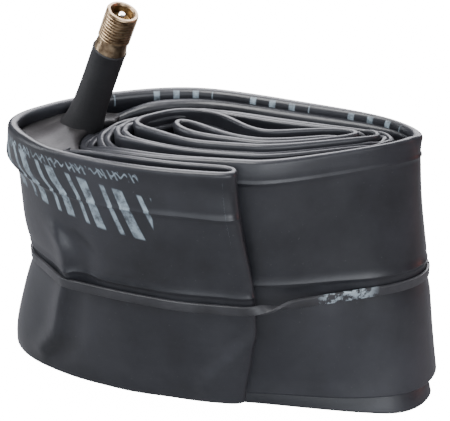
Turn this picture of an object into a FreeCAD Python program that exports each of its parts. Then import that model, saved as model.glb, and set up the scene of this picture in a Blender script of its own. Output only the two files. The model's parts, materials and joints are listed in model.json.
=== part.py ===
import FreeCAD, Part
import math
import os
from FreeCAD import Placement, Rotation, Vector

# A bicycle inner tube, pressed flat and wound up, with its rubber-covered valve and a rubber band.
# Frame: +Z up, X along the long side of the roll, origin under the middle of the roll on the ground.
# Lengths are in millimetres, angles in degrees, windings in radians.

SIZES = {
    # the flattened tube
    "strip_height": 62.5,
    "strip_thickness": 1.3,
    "rubber_wall": 0.6,
    "strand_pitch": 1.55,
    "rest_height": 5.5,
    # plan of the roll: every turn is an offset of one belt laid round three pegs
    "left_peg_x": -19.0,
    "left_peg_y": -0.2,
    "left_peg_radius": 1.5,
    "middle_peg_x": -0.8,
    "middle_peg_y": 1.6,
    "middle_peg_radius": 8.0,
    "right_peg_x": 34.8,
    "right_peg_y": -3.7,
    "right_peg_radius": 2.6,
    "peg_blend": 1.0,
    "outer_offset": 13.5,
    "valve_end_reach_outer": 15.3,
    "valve_end_reach_inner": 7.8,
    "valve_end_sharpness": 3.3,
    "flap_bulge": 1.2,
    "flap_radius": 1.5,
    "flap_x": 3.7,
    # the pair of strands that bends back inside the core
    "hook_lead": 6.0,
    "hook_crest_x": -2.8,
    "hook_crest_y": 7.6,
    "hook_dip_x": 14.2,
    "hook_dip_y": -1.3,
    "hook_turn_x": 32.6,
    "hook_turn_radius": 1.705,
    "hook_home_x": 11.2,
    "hook_tip_x": -6.3,
    "hook_tip_y": 2.1,
    # steps in height between the turns
    "middle_drop": 5.5,
    "core_raise": 4.0,
    "valve_dip": 5.5,
    # the opened stretch of tube that carries the valve
    "pocket_depth": 30.0,
    "pocket_gap": 0.2,
    "pocket_end_half_width": 0.35,
    "room_end_half_width": 0.08,
    "patch_thickness": 0.77,
    "patch_gap": 0.03,
    "patch_inset": 0.5,
    "patch_end_half_width": 0.3,
    # the valve
    "valve_x": -33.0,
    "valve_y": 8.8,
    "valve_lean_right": 21.5,
    "valve_lean_front": 13.0,
    "jacket_radius": 4.05,
    "jacket_root_radius": 4.3,
    "jacket_length": 24.4,
    "jacket_root_height": 1.0,
    "jacket_straight": 12.0,
    "neck_length": 2.7,
    "neck_radius": 3.9,
    "thread_length": 8.2,
    "thread_radius": 3.85,
    "thread_pitch": 0.794,
    "thread_depth": 0.4,
    "stem_radius": 3.2,
    "mouth_radius": 3.02,
    "bore_radius": 2.1,
    "stem_foot": 2.4,
    # the valve core, heights above the valve's foot
    "seat_height": 26.6,
    "seat_depth": 1.0,
    "barrel_foot": 20.5,
    "barrel_floor": 0.8,
    "barrel_room_radius": 1.3,
    "barrel_neck_radius": 1.6,
    "barrel_clearance": 0.15,
    "gasket_lift": 0.1,
    "gasket_height": 1.0,
    "plug_foot": 29.0,
    "plug_height": 4.2,
    "plug_well_depth": 1.6,
    "core_thread_radius": 2.6,
    "core_thread_pitch": 0.7056,
    "core_thread_depth": 0.3,
    "core_thread_length": 3.4,
    "running_gap": 0.05,
    "pin_radius": 0.55,
    "pin_head_radius": 0.95,
    "pin_head_depth": 0.64,
    "pin_head_height": 1.3,
    "pin_hole_gap": 0.1,
    "pin_foot": 18.4,
    "collar_radius": 1.15,
    "collar_foot": 26.9,
    "collar_height": 0.4,
    "cup_radius": 1.7,
    "cup_foot": 18.6,
    "seal_radius": 1.55,
    "seal_foot": 19.6,
    "spring_wire": 0.22,
    "spring_radius": 0.95,
    "spring_gap": 0.01,
    "spring_coils": 6.0,
    # the rubber band
    "band_width": 2.4,
    "band_thickness": 0.9,
    "band_height": 32.0,
    "band_gap": 0.25,
}

doc = FreeCAD.newDocument("InnerTube")
sheet = doc.addObject("Spreadsheet::Sheet", "Sizes")
for row, (alias, value) in enumerate(SIZES.items(), start=1):
    sheet.set("A%d" % row, alias)
    sheet.set("B%d" % row, str(value))
    sheet.setAlias("B%d" % row, alias)
doc.recompute()


def size(alias):
    return float(sheet.get(alias))


def cell(alias):
    return "Sizes." + alias


# ---------------------------------------------------------------- plan of the roll

TURN = 2 * math.pi
HOOK_START = 4.42 * TURN
VALVE_TURN_END = 0.75 * TURN
POCKET_START = 0.07 * TURN
POCKET_END = 0.50 * TURN
POCKET_RAMP = 0.10 * TURN
ROOM_SETBACK = 0.06
PATCH_START = 0.165 * TURN
PATCH_END = 0.455 * TURN
PATCH_RAMP = 0.05 * TURN
PITCH = size("strand_pitch")
THICKNESS = size("strip_thickness")
HEIGHT = size("strip_height")
WALL = size("rubber_wall")
STRETCHES = 24
POCKET_STEPS = 18
BAND_STEPS = 120
LONGEST_STEP = 5.0
STRONGEST_BEND = math.radians(14)
FLOOR = size("rest_height") + HEIGHT - size("valve_dip")


def smooth(value):
    value = min(1.0, max(0.0, value))
    return value * value * (3 - 2 * value)


def normal_at(winding):
    """Outward direction of the belt after this much clockwise winding from the front."""
    angle = -math.pi / 2 - winding
    return math.cos(angle), math.sin(angle)


def belt_reach(winding):
    """Distance from the origin to the tangent line of a smooth belt round the three pegs."""
    nx, ny = normal_at(winding)
    blend = size("peg_blend")
    total = 0.0
    for peg in ("left", "middle", "right"):
        reach = size(peg + "_peg_x") * nx + size(peg + "_peg_y") * ny + size(peg + "_peg_radius")
        total += math.exp(reach / blend)
    return blend * math.log(total)


def strand_reach(winding, strand):
    """The same for a strand of the double winding: strand is +1 for the outer one, -1 for the inner."""
    reach = belt_reach(winding) + size("outer_offset") - PITCH * winding / math.pi + strand * PITCH / 2
    if winding < VALVE_TURN_END:
        end = size("valve_end_reach_outer") if strand > 0 else size("valve_end_reach_inner")
        reach += end * ((1 - normal_at(winding)[0]) / 2) ** size("valve_end_sharpness")
    if strand > 0:
        reach += size("flap_bulge") * smooth(1 - winding / 0.8)
    return reach


def spiral_point(winding, strand, outward=0.0):
    """Point of a strand's centre line in plan, moved outward by a distance."""
    step = 1e-4
    nx, ny = normal_at(winding)
    reach = strand_reach(winding, strand) + outward
    slope = (strand_reach(winding - step, strand) - strand_reach(winding + step, strand)) / (2 * step)
    return reach * nx - slope * ny, reach * ny + slope * nx


def strip_top(winding, strand):
    """Height of the strip's upper edge: the middle turns hang lower, the core stands up again."""
    turns = winding / TURN
    top = size("rest_height") + HEIGHT
    top -= size("middle_drop") * smooth((turns - 0.97) / 0.3)
    top += size("core_raise") * smooth((turns - 3.7) / 0.6)
    if strand < 0:
        top -= size("valve_dip") * (smooth((turns - 0.03) / 0.13) - smooth((turns - 0.46) / 0.12))
    return top


def flap_winding():
    """Winding at which the inner strand leaves the fold at the front."""
    low = -0.1
    high = 0.5
    for _ in range(40):
        middle = (low + high) / 2
        if spiral_point(middle, -1)[0] > size("flap_x"):
            low = middle
        else:
            high = middle
    return high


def spaced_windings(start, end, strand):
    """Windings from start to end, closer together where the strand bends."""
    fine = 0.004
    windings = [start]
    here = spiral_point(start, strand)
    winding = start
    while winding + fine < end:
        winding += fine
        point = spiral_point(winding, strand)
        far = math.hypot(point[0] - here[0], point[1] - here[1]) > LONGEST_STEP
        if far or winding - windings[-1] > STRONGEST_BEND:
            windings.append(winding)
            here = point
    windings[-1] = end
    return windings


def bezier(ends, share):
    rest = 1 - share
    weights = (rest ** 3, 3 * share * rest ** 2, 3 * share ** 2 * rest, share ** 3)
    x = sum(weight * point[0] for weight, point in zip(weights, ends))
    y = sum(weight * point[1] for weight, point in zip(weights, ends))
    return x, y


def hook_line():
    """Centre line of the strand pair inside the core: back, right end, then back to the left."""
    before = spiral_point(HOOK_START - 0.01, 0)
    start = spiral_point(HOOK_START, 0)
    run = math.hypot(start[0] - before[0], start[1] - before[1])
    lead = size("hook_lead")
    out = start[0] + lead * (start[0] - before[0]) / run, start[1] + lead * (start[1] - before[1]) / run
    crest = size("hook_crest_x"), size("hook_crest_y")
    dip = size("hook_dip_x"), size("hook_dip_y")
    turn_x = size("hook_turn_x")
    turn_radius = size("hook_turn_radius")
    home = size("hook_home_x"), dip[1] - 2 * turn_radius
    tip = size("hook_tip_x"), size("hook_tip_y")
    near = 6.0
    far = 9.0
    line = []
    pieces = [
        (start, out, (crest[0] - near, crest[1]), crest, 5),
        (crest, (crest[0] + far, crest[1]), (dip[0] - far, dip[1]), dip, 8),
        (dip, (dip[0] + near, dip[1]), (turn_x - near, dip[1]), (turn_x, dip[1]), 5),
    ]
    for first, second, third, last, steps in pieces:
        for index in range(steps):
            line.append(bezier((first, second, third, last), index / steps))
    middle = dip[1] - turn_radius
    for index in range(6):
        angle = math.pi / 2 - math.pi * index / 6
        line.append((turn_x + turn_radius * math.cos(angle), middle + turn_radius * math.sin(angle)))
    pieces = [
        ((turn_x, home[1]), (turn_x - near, home[1]), (home[0] + near, home[1]), home, 6),
        (home, (home[0] - far, home[1]), (tip[0] + far, tip[1] - 1), tip, 8),
    ]
    for first, second, third, last, steps in pieces:
        for index in range(steps):
            line.append(bezier((first, second, third, last), index / steps))
    line.append(tip)
    return line


def beside(line, offset):
    """The line moved to its left by an offset, in plan."""
    moved = []
    for index, (x, y) in enumerate(line):
        before = line[max(0, index - 1)]
        after = line[min(len(line) - 1, index + 1)]
        run = math.hypot(after[0] - before[0], after[1] - before[1])
        moved.append((x - offset * (after[1] - before[1]) / run, y + offset * (after[0] - before[0]) / run))
    return moved


def fold(centre, radius, direction):
    """Round end of a fold: an open arc that starts and ends past its sides."""
    points = []
    for index in range(7):
        angle = direction + math.radians(105 - 35 * index)
        points.append((centre[0] + radius * math.cos(angle), centre[1] + radius * math.sin(angle)))
    return points


def strand_points(start, end, strand):
    """Centre line of a strand as points (x, y, top)."""
    return [spiral_point(w, strand) + (strip_top(w, strand),) for w in spaced_windings(start, end, strand)]


def tube_line():
    """Closed centre line of the flattened tube, from the fold at the front round to the fold again."""
    radius = size("flap_radius")
    ahead = 2.2 * radius
    flap_start = flap_winding()
    hook = hook_line()
    core_top = strip_top(HOOK_START, 1)
    outer = strand_points(flap_start, HOOK_START, 1)[:-1]
    outer += [point + (core_top,) for point in beside(hook, PITCH / 2)]
    inner = strand_points(flap_start, HOOK_START, -1)[:-1]
    inner += [point + (core_top,) for point in beside(hook, -PITCH / 2)]
    tip = hook[-1]
    heading = math.atan2(tip[1] - hook[-2][1], tip[0] - hook[-2][0])
    centre = tip[0] + ahead * math.cos(heading), tip[1] + ahead * math.sin(heading)
    tip_fold = [point + (core_top,) for point in fold(centre, radius, heading)]
    start = inner[0]
    facing = math.atan2(start[1] - inner[1][1], start[0] - inner[1][0])
    centre_x = start[0] + ahead * math.cos(facing) + radius * math.sin(facing)
    centre_y = start[1] + ahead * math.sin(facing) - radius * math.cos(facing)
    flap_fold = [point + (start[2],) for point in fold((centre_x, centre_y), radius, facing)]
    return outer + tip_fold + inner[::-1] + flap_fold


# ---------------------------------------------------------------- the tube


def origin_plane(body, role):
    for feature in body.Origin.OriginFeatures:
        if feature.Role == role:
            return feature


def new_body(name):
    body = doc.addObject("PartDesign::Body", name)
    body.Label = name
    return body


def new_sketch(body, name, role, height=0.0):
    """A sketch on one of the body's own origin planes, moved along the plane's normal."""
    sketch = body.newObject("Sketcher::SketchObject", name)
    sketch.AttachmentSupport = [(origin_plane(body, role), "")]
    sketch.MapMode = "FlatFace"
    sketch.AttachmentOffset = Placement(Vector(0, 0, height), Rotation())
    return sketch


def spine_wires():
    """The tube's centre line, as one closed smooth curve cut into stretches, from the middle of the back."""
    line = tube_line()
    back = max(range(len(line) // 3), key=lambda index: line[index][1])
    points = [Vector(x, y, top - HEIGHT / 2) for x, y, top in line[back:] + line[:back]]
    curve = Part.BSplineCurve()
    curve.interpolate(Points=points, PeriodicFlag=True)
    stretch = (curve.LastParameter - curve.FirstParameter) / STRETCHES
    edges = []
    for index in range(STRETCHES):
        start = curve.FirstParameter + stretch * index
        edges.append(curve.toShape(start, start + stretch))
    return Part.Wire(edges), points[0]


def swept_strip(thickness, height):
    """An upright rectangle carried round the whole centre line without tilting."""
    spine, start = spine_wires()
    across = Vector(0, thickness / 2, 0)
    up = Vector(0, 0, height / 2)
    corners = [start - across - up, start - across + up, start + across + up, start + across - up]
    shell = Part.BRepOffsetAPI.MakePipeShell(spine)
    shell.setBiNormalMode(Vector(0, 0, 1))
    shell.setTolerance(1e-3, 1e-3, 1e-2)
    shell.add(Part.makePolygon(corners + corners[:1]), False, False)
    shell.build()
    shell.makeSolid()
    return shell.shape()


def pocket_outline(start, end, ramp, end_half_width, inset):
    """Outline in plan of the opened tube round the valve: it fills the gap between its two neighbours."""
    reach = THICKNESS / 2 + size("pocket_gap") + inset
    far = []
    near = []
    for index in range(POCKET_STEPS + 1):
        winding = start + (end - start) * index / POCKET_STEPS
        swell = smooth((winding - start) / ramp) * smooth((end - winding) / ramp)
        outer_side = spiral_point(winding, 1, -reach)
        inner_side = spiral_point(winding + TURN, 1, reach)
        far_own = spiral_point(winding, -1, end_half_width)
        near_own = spiral_point(winding, -1, -end_half_width)
        far.append(Vector(*[own + swell * (side - own) for own, side in zip(far_own, outer_side)], 0))
        near.append(Vector(*[own + swell * (side - own) for own, side in zip(near_own, inner_side)], 0))
    curves = []
    for points in (far, near):
        curve = Part.BSplineCurve()
        curve.interpolate(Points=points)
        curves.append(curve)
    return [curves[0], Part.LineSegment(far[-1], near[-1]), curves[1], Part.LineSegment(near[0], far[0])]


def upright_block(name, outline, top, depth):
    """A block with that outline in plan, hanging down from a height by an expression of the sizes."""
    body = new_body(name)
    sketch = new_sketch(body, name + "_outline", "XY_Plane", top)
    for piece in outline:
        sketch.addGeometry(piece)
    pad = body.newObject("PartDesign::Pad", name + "_depth")
    pad.Profile = sketch
    pad.setExpression("Length", depth)
    pad.Reversed = True
    doc.recompute()
    return body


def boolean(kind, name, base, tool):
    result = doc.addObject("Part::" + kind, name)
    result.Base = base
    result.Tool = tool
    return result


lean_right = math.radians(size("valve_lean_right"))
lean_front = math.radians(size("valve_lean_front"))
valve_lean = Vector(math.tan(lean_right), -math.tan(lean_front), 1)
PATCH_TOP = FLOOR + size("patch_gap") + size("patch_thickness")
valve_foot = Vector(size("valve_x"), size("valve_y"), PATCH_TOP)
valve_place = Placement(valve_foot, Rotation(Vector(0, 0, 1), valve_lean))


def valve_hole(name, reach):
    """The round hole that the stem passes through, along the valve's axis."""
    hole = doc.addObject("Part::Cylinder", name)
    hole.setExpression("Radius", cell("stem_radius"))
    hole.Height = 2 * reach
    hole.Placement = valve_place.multiply(Placement(Vector(0, 0, -reach), Rotation()))
    return hole


def make_tube():
    outside = swept_strip(THICKNESS, HEIGHT)
    inside = swept_strip(THICKNESS - 2 * WALL, HEIGHT - 2 * WALL)
    hollow = doc.addObject("Part::Feature", "hollow_strip")
    hollow.Shape = outside.cut(inside)
    end_width = size("pocket_end_half_width")
    outline = pocket_outline(POCKET_START, POCKET_END, POCKET_RAMP, end_width, 0.0)
    block = upright_block("pocket_block", outline, FLOOR, cell("pocket_depth"))
    end_width = size("room_end_half_width")
    start = POCKET_START + ROOM_SETBACK
    end = POCKET_END - ROOM_SETBACK
    outline = pocket_outline(start, end, POCKET_RAMP, end_width, WALL)
    depth = cell("pocket_depth") + " - 2 * " + cell("rubber_wall")
    room = upright_block("pocket_room", outline, FLOOR - WALL, depth)
    opened = boolean("Cut", "opened_strip", hollow, room)
    walls = boolean("Cut", "pocket_walls", block, room)
    joined = boolean("Fuse", "joined_tube", opened, walls)
    return boolean("Cut", "tube", joined, valve_hole("tube_valve_hole", 3.0))


def make_patch():
    end_width = size("patch_end_half_width")
    outline = pocket_outline(PATCH_START, PATCH_END, PATCH_RAMP, end_width, size("patch_inset"))
    block = upright_block("patch_block", outline, PATCH_TOP, cell("patch_thickness"))
    return boolean("Cut", "valve_patch", block, valve_hole("patch_valve_hole", 4.0))


# ---------------------------------------------------------------- the valve, upright in its own frame


JACKET_TOP = size("jacket_length")
NECK_TOP = JACKET_TOP + size("neck_length")
STEM_TOP = NECK_TOP + size("thread_length")
PIN_TOP = STEM_TOP - size("pin_head_depth")
GAP = size("running_gap")
SEAT = size("seat_height")
BARREL_FOOT = size("barrel_foot")
BARREL_FLOOR = BARREL_FOOT + size("barrel_floor")
PLUG_FOOT = size("plug_foot")
COLLAR_FOOT = size("collar_foot")
PIN_HOLE = size("pin_radius") + size("pin_hole_gap")


def revolved(name, profile):
    """A body turned from a profile of (radius, height) points, standing on the valve's axis."""
    body = new_body(name)
    sketch = new_sketch(body, name + "_profile", "XZ_Plane")
    corners = [Vector(radius, height, 0) for radius, height in profile]
    for first, second in zip(corners, corners[1:] + corners[:1]):
        sketch.addGeometry(Part.LineSegment(first, second))
    turn = body.newObject("PartDesign::Revolution", name + "_turned")
    turn.Profile = sketch
    turn.ReferenceAxis = (sketch, ["V_Axis"])
    turn.Angle = 360
    body.Placement = valve_place
    return body


def cut_thread(body, name, radius, pitch_alias, depth, start, length):
    """A V groove cut round the body as a helix."""
    sketch = new_sketch(body, name + "_groove", "XZ_Plane")
    half = 0.36 * size(pitch_alias)
    outside = radius + 0.1
    bottom = Vector(radius - depth, start, 0)
    corners = [Vector(outside, start - half, 0), bottom, Vector(outside, start + half, 0)]
    for first, second in zip(corners, corners[1:] + corners[:1]):
        sketch.addGeometry(Part.LineSegment(first, second))
    helix = body.newObject("PartDesign::SubtractiveHelix", name + "_thread")
    helix.Profile = sketch
    helix.ReferenceAxis = (sketch, ["V_Axis"])
    helix.Mode = 0
    helix.setExpression("Pitch", cell(pitch_alias))
    helix.Height = length


def make_valve_rubber():
    bore = size("stem_radius")
    root = size("jacket_root_radius")
    outside = size("jacket_radius")
    sunk = -3.0
    profile = [(bore, sunk), (root, sunk), (root, size("jacket_root_height"))]
    profile += [(outside, size("jacket_straight")), (outside, JACKET_TOP), (bore, JACKET_TOP)]
    jacket = revolved("jacket_blank", profile)
    below = doc.addObject("Part::Box", "below_patch")
    below.Length = 40
    below.Width = 40
    below.Height = 20
    below.Placement = Placement(valve_foot - Vector(20, 20, 20), Rotation())
    return boolean("Cut", "valve_rubber", jacket, below)


def make_stem():
    radius = size("thread_radius")
    root = radius - size("thread_depth")
    sleeve = size("stem_radius")
    bore = size("bore_radius")
    chamber = size("core_thread_radius") + GAP
    foot = -size("stem_foot")
    profile = [(bore, foot), (sleeve, foot), (sleeve, JACKET_TOP), (size("neck_radius"), JACKET_TOP)]
    profile += [(root + 0.1, NECK_TOP), (root + 0.1, NECK_TOP + 0.3), (radius, NECK_TOP + 0.5)]
    profile += [(radius, STEM_TOP - 0.4), (root + 0.15, STEM_TOP), (size("mouth_radius"), STEM_TOP)]
    profile += [(chamber, STEM_TOP - 0.4), (chamber, SEAT + size("seat_depth")), (bore, SEAT)]
    body = revolved("stem", profile)
    doc.recompute()
    length = STEM_TOP - NECK_TOP - 0.4
    cut_thread(body, "stem", radius, "thread_pitch", size("thread_depth"), NECK_TOP + 0.6, length)
    return body


def make_core_plug():
    radius = size("core_thread_radius")
    edge = 0.3
    well = size("pin_head_radius") + edge
    top = PLUG_FOOT + size("plug_height")
    floor = top - size("plug_well_depth")
    profile = [(PIN_HOLE, PLUG_FOOT), (radius - edge, PLUG_FOOT), (radius, PLUG_FOOT + edge)]
    profile += [(radius, top - edge), (radius - edge, top), (well, top), (well, floor), (PIN_HOLE, floor)]
    body = revolved("core_plug", profile)
    doc.recompute()
    depth = size("core_thread_depth")
    length = size("core_thread_length")
    cut_thread(body, "core_plug", radius, "core_thread_pitch", depth, PLUG_FOOT + 0.4, length)
    return body


def make_core_barrel():
    room = size("barrel_room_radius")
    neck = size("barrel_neck_radius")
    outside = size("bore_radius") - size("barrel_clearance")
    top = PLUG_FOOT - GAP
    profile = [(PIN_HOLE, BARREL_FOOT), (outside, BARREL_FOOT), (outside, SEAT + 0.4), (neck, SEAT + 0.8)]
    profile += [(neck, top), (room, top), (room, BARREL_FLOOR), (PIN_HOLE, BARREL_FLOOR)]
    return revolved("core_barrel", profile)


def ring(name, inside, outside, foot, top):
    return revolved(name, [(inside, foot), (outside, foot), (outside, top), (inside, top)])


def make_core_gasket():
    foot = SEAT + size("seat_depth") + size("gasket_lift")
    inside = size("barrel_neck_radius")
    return ring("core_gasket", inside, size("core_thread_radius"), foot, foot + size("gasket_height"))


def make_core_pin():
    pin = size("pin_radius")
    head = size("pin_head_radius")
    head_foot = PIN_TOP - size("pin_head_height")
    foot = size("pin_foot")
    collar = size("collar_radius")
    collar_top = COLLAR_FOOT + size("collar_height")
    profile = [(0, foot), (pin, foot), (pin, COLLAR_FOOT), (collar, COLLAR_FOOT), (collar, collar_top)]
    profile += [(pin, collar_top), (pin, head_foot), (head, head_foot), (head, PIN_TOP - 0.25)]
    profile += [(head - 0.3, PIN_TOP), (0, PIN_TOP)]
    return revolved("core_pin", profile)


def make_core_spring():
    """The spring stands between the barrel's floor and the pin's collar."""
    body = new_body("core_spring")
    sketch = new_sketch(body, "core_spring_wire", "XZ_Plane")
    wire = size("spring_wire") / 2
    foot = BARREL_FLOOR + wire + size("spring_gap")
    top = COLLAR_FOOT - wire - size("spring_gap")
    sketch.addGeometry(Part.Circle(Vector(size("spring_radius"), foot, 0), Vector(0, 0, 1), wire))
    helix = body.newObject("PartDesign::AdditiveHelix", "core_spring_coils")
    helix.Profile = sketch
    helix.ReferenceAxis = (sketch, ["V_Axis"])
    helix.Mode = 0
    helix.Pitch = (top - foot) / size("spring_coils")
    helix.Height = top - foot
    body.Placement = valve_place
    return body


def make_core_cup():
    return ring("core_cup", size("pin_radius"), size("cup_radius"), size("cup_foot"), size("seal_foot"))


def make_core_seal():
    top = BARREL_FOOT - 0.02
    return ring("core_seal", size("pin_radius"), size("seal_radius"), size("seal_foot"), top)


# ---------------------------------------------------------------- the rubber band


def hull_outline(offset):
    """A closed curve stretched round the whole roll, this far outside the strand's centre line."""
    spine, _ = spine_wires()
    points = spine.discretize(Number=2400)
    outline = []
    for index in range(BAND_STEPS):
        angle = TURN * index / BAND_STEPS
        outward = Vector(math.cos(angle), math.sin(angle), 0)
        touch = max(points, key=outward.dot)
        point = Vector(touch.x, touch.y, 0) + outward * offset
        if not outline or (point - outline[-1]).Length > 1.5:
            outline.append(point)
    curve = Part.BSplineCurve()
    curve.interpolate(Points=outline, PeriodicFlag=True)
    return curve


def make_rubber_band():
    body = new_body("rubber_band")
    sketch = new_sketch(body, "rubber_band_outline", "XY_Plane", size("band_height"))
    inside = THICKNESS / 2 + size("band_gap")
    sketch.addGeometry(hull_outline(inside))
    sketch.addGeometry(hull_outline(inside + size("band_thickness")))
    pad = body.newObject("PartDesign::Pad", "rubber_band_width")
    pad.Profile = sketch
    pad.setExpression("Length", cell("band_width"))
    return body


# ---------------------------------------------------------------- the whole part


def make_sub_parts():
    return [
        make_tube(),
        make_patch(),
        make_valve_rubber(),
        make_stem(),
        make_core_plug(),
        make_core_barrel(),
        make_core_gasket(),
        make_core_pin(),
        make_core_spring(),
        make_core_cup(),
        make_core_seal(),
        make_rubber_band(),
    ]


def check(sub_parts):
    for item in doc.Objects:
        if "Invalid" in item.State or "Error" in item.State:
            raise RuntimeError("%s failed to build: %s" % (item.Label, item.State))
    for item in sub_parts:
        if item.Shape.isNull() or not item.Shape.isValid():
            raise RuntimeError("%s has no valid shape" % item.Label)


sub_parts = make_sub_parts()
doc.recompute()
check(sub_parts)
os.makedirs("parts", exist_ok=True)
for item in sub_parts:
    item.Shape.exportStep("parts/%s.step" % item.Label)
    box = item.Shape.BoundBox
    print(item.Label, round(item.Shape.Volume, 2), len(item.Shape.Solids), box)
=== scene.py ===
import json
import math

import bpy
import numpy as np
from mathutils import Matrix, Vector


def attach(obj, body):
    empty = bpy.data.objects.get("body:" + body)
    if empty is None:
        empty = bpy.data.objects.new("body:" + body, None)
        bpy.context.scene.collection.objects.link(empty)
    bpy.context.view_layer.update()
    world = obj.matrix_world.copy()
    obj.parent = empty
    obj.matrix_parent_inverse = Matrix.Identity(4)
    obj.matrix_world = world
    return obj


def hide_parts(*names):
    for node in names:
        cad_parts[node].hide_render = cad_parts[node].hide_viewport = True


# Looks of a rolled-up bicycle inner tube with its valve and a rubber band round it.
# The shapes are worked out in millimetres and written to the meshes in metres.

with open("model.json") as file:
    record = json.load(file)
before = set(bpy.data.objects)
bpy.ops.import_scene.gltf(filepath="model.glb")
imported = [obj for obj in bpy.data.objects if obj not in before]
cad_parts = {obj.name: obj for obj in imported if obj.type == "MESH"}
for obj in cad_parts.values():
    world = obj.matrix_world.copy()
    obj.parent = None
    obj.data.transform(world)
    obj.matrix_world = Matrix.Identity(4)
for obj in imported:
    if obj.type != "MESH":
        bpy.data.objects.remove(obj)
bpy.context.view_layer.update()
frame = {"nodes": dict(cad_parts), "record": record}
MM = 0.001
TURN = 2 * math.pi

# ---------------------------------------------------------------- plan of the roll

# The flattened tube stands on edge: HEIGHT is its width, PITCH the spacing of its strands, and
# REST_HEIGHT lifts the outer turn off the floor.
HEIGHT = 62.5
WALL_HALF = 0.65
PITCH = 1.55
REST_HEIGHT = 5.5

# The tube is wound round three round pegs (x, y, radius), from the outside in. Winding is an angle.
PEGS = ((-19.0, -0.2, 1.5), (-0.8, 1.6, 8.0), (34.8, -3.7, 2.6))
PEG_BLEND = 1.0
OUTER_OFFSET = 13.5
VALVE_END_REACH = {1: 15.3, -1: 7.8, 0: 0.0}
VALVE_END_SHARPNESS = 3.3
FLAP_BULGE = 1.2
FLAP_BULGE_WINDING = 0.8
FLAP_X = 8.2
TIP_SPREAD = 1.5
HOOK_START = 4.42 * TURN
VALVE_TURN_END = 0.75 * TURN
BAND_MIDDLE = 33.2

# How far the upper edges drop, climb or step away from the outer turn's.
MIDDLE_DROP = 5.5
LAP_CLIMB = 4.5
CORE_RAISE = 1.2
VALVE_DIP = 5.5
PUFFED_DROP = 2.0
CORE_STEP = 3.0

# The opened pocket under the valve, by winding, and how deep it reaches.
POCKET_START = 0.07 * TURN
POCKET_END = 0.43 * TURN
POCKET_RAMP = 0.10 * TURN
POCKET_END_RAMP = 0.035 * TURN
POCKET_DEPTH = 30.0
POCKET_CLOSING = 8.0
POCKET_END_TURNS = 0.414


def smooth(value):
    """A soft step: 0 below 0, 1 above 1."""
    value = np.clip(value, 0.0, 1.0)
    return value * value * (3 - 2 * value)


def hump(value, centre, width):
    """A round hill: 1 at the centre, fading to both sides."""
    return np.exp(-(((value - centre) / width) ** 2))


def normal_at(winding):
    """The outward direction in plan at a winding."""
    angle = -math.pi / 2 - winding
    return np.cos(angle), np.sin(angle)


def strand_reach(winding, strand):
    """Distance from the origin to the strand's tangent line: strand is +1 outer, -1 inner, 0 between."""
    nx, ny = normal_at(winding)
    total = sum(np.exp((x * nx + y * ny + r) / PEG_BLEND) for x, y, r in PEGS)
    reach = PEG_BLEND * np.log(total) + OUTER_OFFSET - PITCH * winding / math.pi + strand * PITCH / 2
    valve_end = VALVE_END_REACH[strand] * ((1 - nx) / 2) ** VALVE_END_SHARPNESS
    reach = reach + np.where(winding < VALVE_TURN_END, valve_end, 0.0)
    if strand > 0:
        reach = reach + FLAP_BULGE * smooth(1 - winding / FLAP_BULGE_WINDING)
    return reach


def spiral_points(winding, strand, outward=0.0):
    """Points of a strand's centre line in plan."""
    winding = np.asarray(winding, float)
    step = 1e-4
    nx, ny = normal_at(winding)
    reach = strand_reach(winding, strand) + outward
    slope = (strand_reach(winding - step, strand) - strand_reach(winding + step, strand)) / (2 * step)
    return np.stack([reach * nx - slope * ny, reach * ny + slope * nx], -1)


def strip_top(winding, strand):
    """Height of the strip's upper edge."""
    turns = np.asarray(winding, float) / TURN
    top = REST_HEIGHT + HEIGHT - MIDDLE_DROP * smooth((turns - 0.97) / 0.3)
    top = top + LAP_CLIMB * np.clip((turns - 1.3) / 1.7, 0, 1)
    top = top + CORE_RAISE * smooth((turns - 3.6) / 0.4)
    if strand < 0:
        past_pocket = smooth((turns - POCKET_END_TURNS) / 0.026)
        top = top - VALVE_DIP * (smooth((turns - 0.03) / 0.13) - past_pocket)
        top = top - CORE_STEP * smooth((turns - 3.5) / 0.3)
        top = top - PUFFED_DROP * past_pocket * (1 - smooth((turns - 0.80) / 0.12))
    return top


def bezier(ends, count):
    """Points of a curve from the first of four ends to the last, without the last point."""
    share = np.linspace(0, 1, count, endpoint=False)[:, None]
    rest = 1 - share
    a, b, c, d = [np.array(end, float) for end in ends]
    return a * rest ** 3 + 3 * b * share * rest ** 2 + 3 * c * share ** 2 * rest + d * share ** 3


# The innermost turn: over the back, along the middle to the far end, and back to its tip.
HOOK_BENDS = (
    (-9.0, 8.9), (-3.4, 9.1), (1.6, 6.8), (5.5, 3.2), (9.0, 0.0),
    (14.0, -1.7), (21.5, -1.2), (28.2, -1.4), (32.6, -2.2), (34.6, -3.9),
    (32.4, -5.3), (26.0, -6.1), (18.0, -6.4), (11.0, -6.0),
    (4.5, -4.4), (-1.2, -2.2), (-5.4, 0.4), (-7.9, 2.6),
)
HOOK_TURN_LENGTH = 150.0
CURVE_STEPS = 8
FOLD_STEPS = 9


def hook_line():
    """Centre line of the strand pair inside the core: a smooth curve through its bends."""
    before, start = spiral_points([HOOK_START - 0.01, HOOK_START], 0)
    knots = np.array((2 * before - start, start) + HOOK_BENDS + (HOOK_BENDS[-1],))
    parts = []
    for a, b, c, d in zip(knots, knots[1:], knots[2:], knots[3:]):
        reach = np.linalg.norm(c - b)
        leave = (c - a) / np.linalg.norm(c - a) * reach / 3
        arrive = (d - b) / np.linalg.norm(d - b) * reach / 3
        parts.append(bezier((b, b + leave, c - arrive, c), CURVE_STEPS))
    return np.concatenate(parts + [knots[-1][None]])


def run_of(line):
    """Distance along a line of points, at each point."""
    return np.concatenate([[0.0], np.cumsum(np.linalg.norm(np.diff(line, axis=0), axis=1))])


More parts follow.
